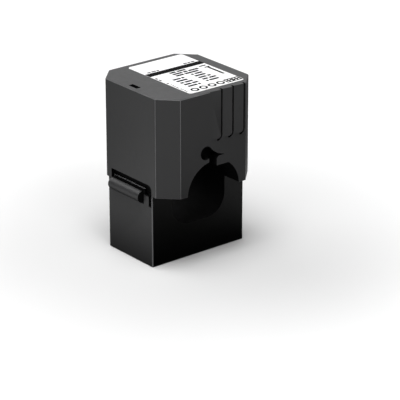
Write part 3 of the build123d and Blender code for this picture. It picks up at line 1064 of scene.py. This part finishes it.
def panel(name, turn, rise, distance, size, radiance):
    """A soft panel that faces the part, placed by its angles in degrees."""
    flat = cos(radians(rise)) * distance
    x = sin(radians(turn)) * flat
    y = -cos(radians(turn)) * flat
    place = TARGET + Vector((x, y, sin(radians(rise)) * distance))
    data = bpy.data.lights.new(name, "AREA")
    data.shape = "RECTANGLE"
    data.size, data.size_y = size
    data.energy = radiance * pi * size[0] * size[1]
    light = bpy.data.objects.new(name, data)
    bpy.context.scene.collection.objects.link(light)
    light.location = place
    light.rotation_euler = (TARGET - place).to_track_quat("-Z", "Y").to_euler()
    light.visible_camera = False


def dim_room():
    """A room that looks pale past the floor's edge, but gives hardly any light."""
    room = bpy.data.worlds.new("dim room")
    room.use_nodes = True
    tree = room.node_tree
    background = tree.nodes["Background"]
    background.inputs["Color"].default_value = (1, 1, 1, 1)
    seen = add_node(tree, "ShaderNodeLightPath").outputs["Is Camera Ray"]
    shown = sums(tree, "MULTIPLY", seen, ROOM_SEEN)
    feed(tree, background.inputs["Strength"], sums(tree, "ADD", shown, ROOM_TONE))
    bpy.context.scene.world = room


panel("overhead box", -52, 78, 0.9, (0.5, 0.5), 10.0)
panel("left strip", -72, 14, 0.5, (0.08, 0.3), 4.0)
panel("right panel", 70, 35, 0.9, (0.4, 0.3), 1.0)
panel("front panel", -10, 35, 0.8, (0.3, 0.3), 2.6)
panel("back panel", 141, 24, 1.3, (1.2, 0.5), 1.4)
panel("ridge panel", -160, 38, 0.8, (0.7, 0.4), 2.7)
dim_room()
bpy.context.scene.view_settings.view_transform = "Standard"
print("lights:", len(bpy.data.lights))

# %% [markdown]
# The floor is a plain pale sheet. Gloss on the side walls mirrors the floor, and light
# that bounces from it would fill the window and the shadow under the upper half. So
# the sheet looks different to each kind of ray. To the camera it is nearly white, with
# a little light of its own that grows with distance, like a sweep, which leaves it a
# little darker near the part as a painted shade round its foot. To gloss it glows as a
# painted reflection: it is dark in a strip along the part, and dark over the half behind
# and to the right, which starts softly a few centimetres away, as painted shade in what
# the walls mirror. To the soft bounce it is dark.

# %% The light that gloss finds on the floor
TABLE_LIGHT = 1.37
STRIP_MIDDLE = (3 * MM, 0, 0)
STRIP_SHAPE = (1, 0.35, 1)
STRIP_EDGE = (18 * MM, 58 * MM)
GLOSS_SHADE_WAY = (0.78, 0.63, 0)
GLOSS_SHADE_EDGE = (-17 * MM, 2 * MM)
GLOSS_SHADE_START = (40 * MM, 85 * MM)
GLOSS_SHADE_TONE = 0.15


def fade(tree, value, edge, start, end):
    """A smooth change from one tone to another between two values."""
    node = add_node(tree, "ShaderNodeMapRange", interpolation_type="SMOOTHSTEP")
    for socket, setting in zip(node.inputs, (value, *edge, start, end)):
        feed(tree, socket, setting)
    return node.outputs["Result"]


def light_table(tree, place):
    """The light that gloss finds on the sheet: a painted reflection, with painted shade near
    the part and behind it.
    """
    shift = add_node(tree, "ShaderNodeVectorMath", operation="SUBTRACT")
    feed(tree, shift.inputs[0], place)
    feed(tree, shift.inputs[1], STRIP_MIDDLE)
    squeeze = add_node(tree, "ShaderNodeVectorMath", operation="MULTIPLY")
    feed(tree, squeeze.inputs[0], shift.outputs[0])
    feed(tree, squeeze.inputs[1], STRIP_SHAPE)
    away = add_node(tree, "ShaderNodeVectorMath", operation="LENGTH")
    feed(tree, away.inputs[0], squeeze.outputs[0])
    across = add_node(tree, "ShaderNodeVectorMath", operation="DOT_PRODUCT")
    feed(tree, across.inputs[0], place)
    feed(tree, across.inputs[1], GLOSS_SHADE_WAY)
    far = add_node(tree, "ShaderNodeVectorMath", operation="LENGTH")
    feed(tree, far.inputs[0], place)
    # Dark near the part: painted shade in the walls' reflections.
    strip = fade(tree, away.outputs["Value"], STRIP_EDGE, 0.0, TABLE_LIGHT)
    cover = fade(tree, across.outputs["Value"], GLOSS_SHADE_EDGE, 0.0, 1 - GLOSS_SHADE_TONE)
    start = fade(tree, far.outputs["Value"], GLOSS_SHADE_START, 0.0, 1.0)
    # Painted shade in what the walls mirror, behind and to the right of the part.
    gloss_shade = sums(tree, "SUBTRACT", 1.0, sums(tree, "MULTIPLY", cover, start))
    return sums(tree, "MULTIPLY", strip, gloss_shade)


# %% The floor and its tones
FLOOR_SIZE = 6
FLOOR_SEEN = 0.72
FLOOR_BOUNCE = 0.03
GLOW_EDGE = (30 * MM, 110 * MM)
GLOW_TONES = (0.02, 0.3)
SWEEP_EDGE = (150 * MM, 1200 * MM)
SWEEP_TONE = 0.65


def pale_floor():
    """A plain sheet that looks different to each kind of ray."""
    clear_selection()
    bpy.ops.mesh.primitive_plane_add(size=FLOOR_SIZE, location=(0, 0, 0))
    floor = bpy.context.active_object
    floor.name = "floor"
    material = bpy.data.materials.new("pale floor")
    material.use_nodes = True
    tree = material.node_tree
    shader = tree.nodes["Principled BSDF"]
    path = add_node(tree, "ShaderNodeLightPath").outputs
    place = add_node(tree, "ShaderNodeTexCoord").outputs["Object"]

    def to_ray(kind, value):
        return sums(tree, "MULTIPLY", path[kind], value)

    far = add_node(tree, "ShaderNodeVectorMath", operation="LENGTH")
    feed(tree, far.inputs[0], place)
    seen = to_ray("Is Camera Ray", FLOOR_SEEN)
    tone = sums(tree, "ADD", seen, to_ray("Is Diffuse Ray", FLOOR_BOUNCE))
    # Less glow near the part: a painted shade on the floor round its foot.
    near_glow = fade(tree, far.outputs["Value"], GLOW_EDGE, *GLOW_TONES)
    far_glow = fade(tree, far.outputs["Value"], SWEEP_EDGE, 0.0, SWEEP_TONE)
    shown = to_ray("Is Camera Ray", sums(tree, "ADD", near_glow, far_glow))
    glow = sums(tree, "ADD", shown, to_ray("Is Glossy Ray", light_table(tree, place)))
    feed(tree, shader.inputs["Base Color"], tone)
    shader.inputs["Roughness"].default_value = 1.0
    shader.inputs["Specular IOR Level"].default_value = 0.0
    shader.inputs["Emission Color"].default_value = (1, 1, 1, 1)
    feed(tree, shader.inputs["Emission Strength"], glow)
    dress(floor, material)
    floor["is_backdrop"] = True
    print("floor:", FLOOR_SIZE, "m wide")


pale_floor()

# %% Sizes and the end
new_low, new_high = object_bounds()
grown = [round((a - b) / MM, 3) for a, b in zip(new_high - new_low, cad_high - cad_low)]
print("the dressed part differs from the solid one by", grown, "mm")
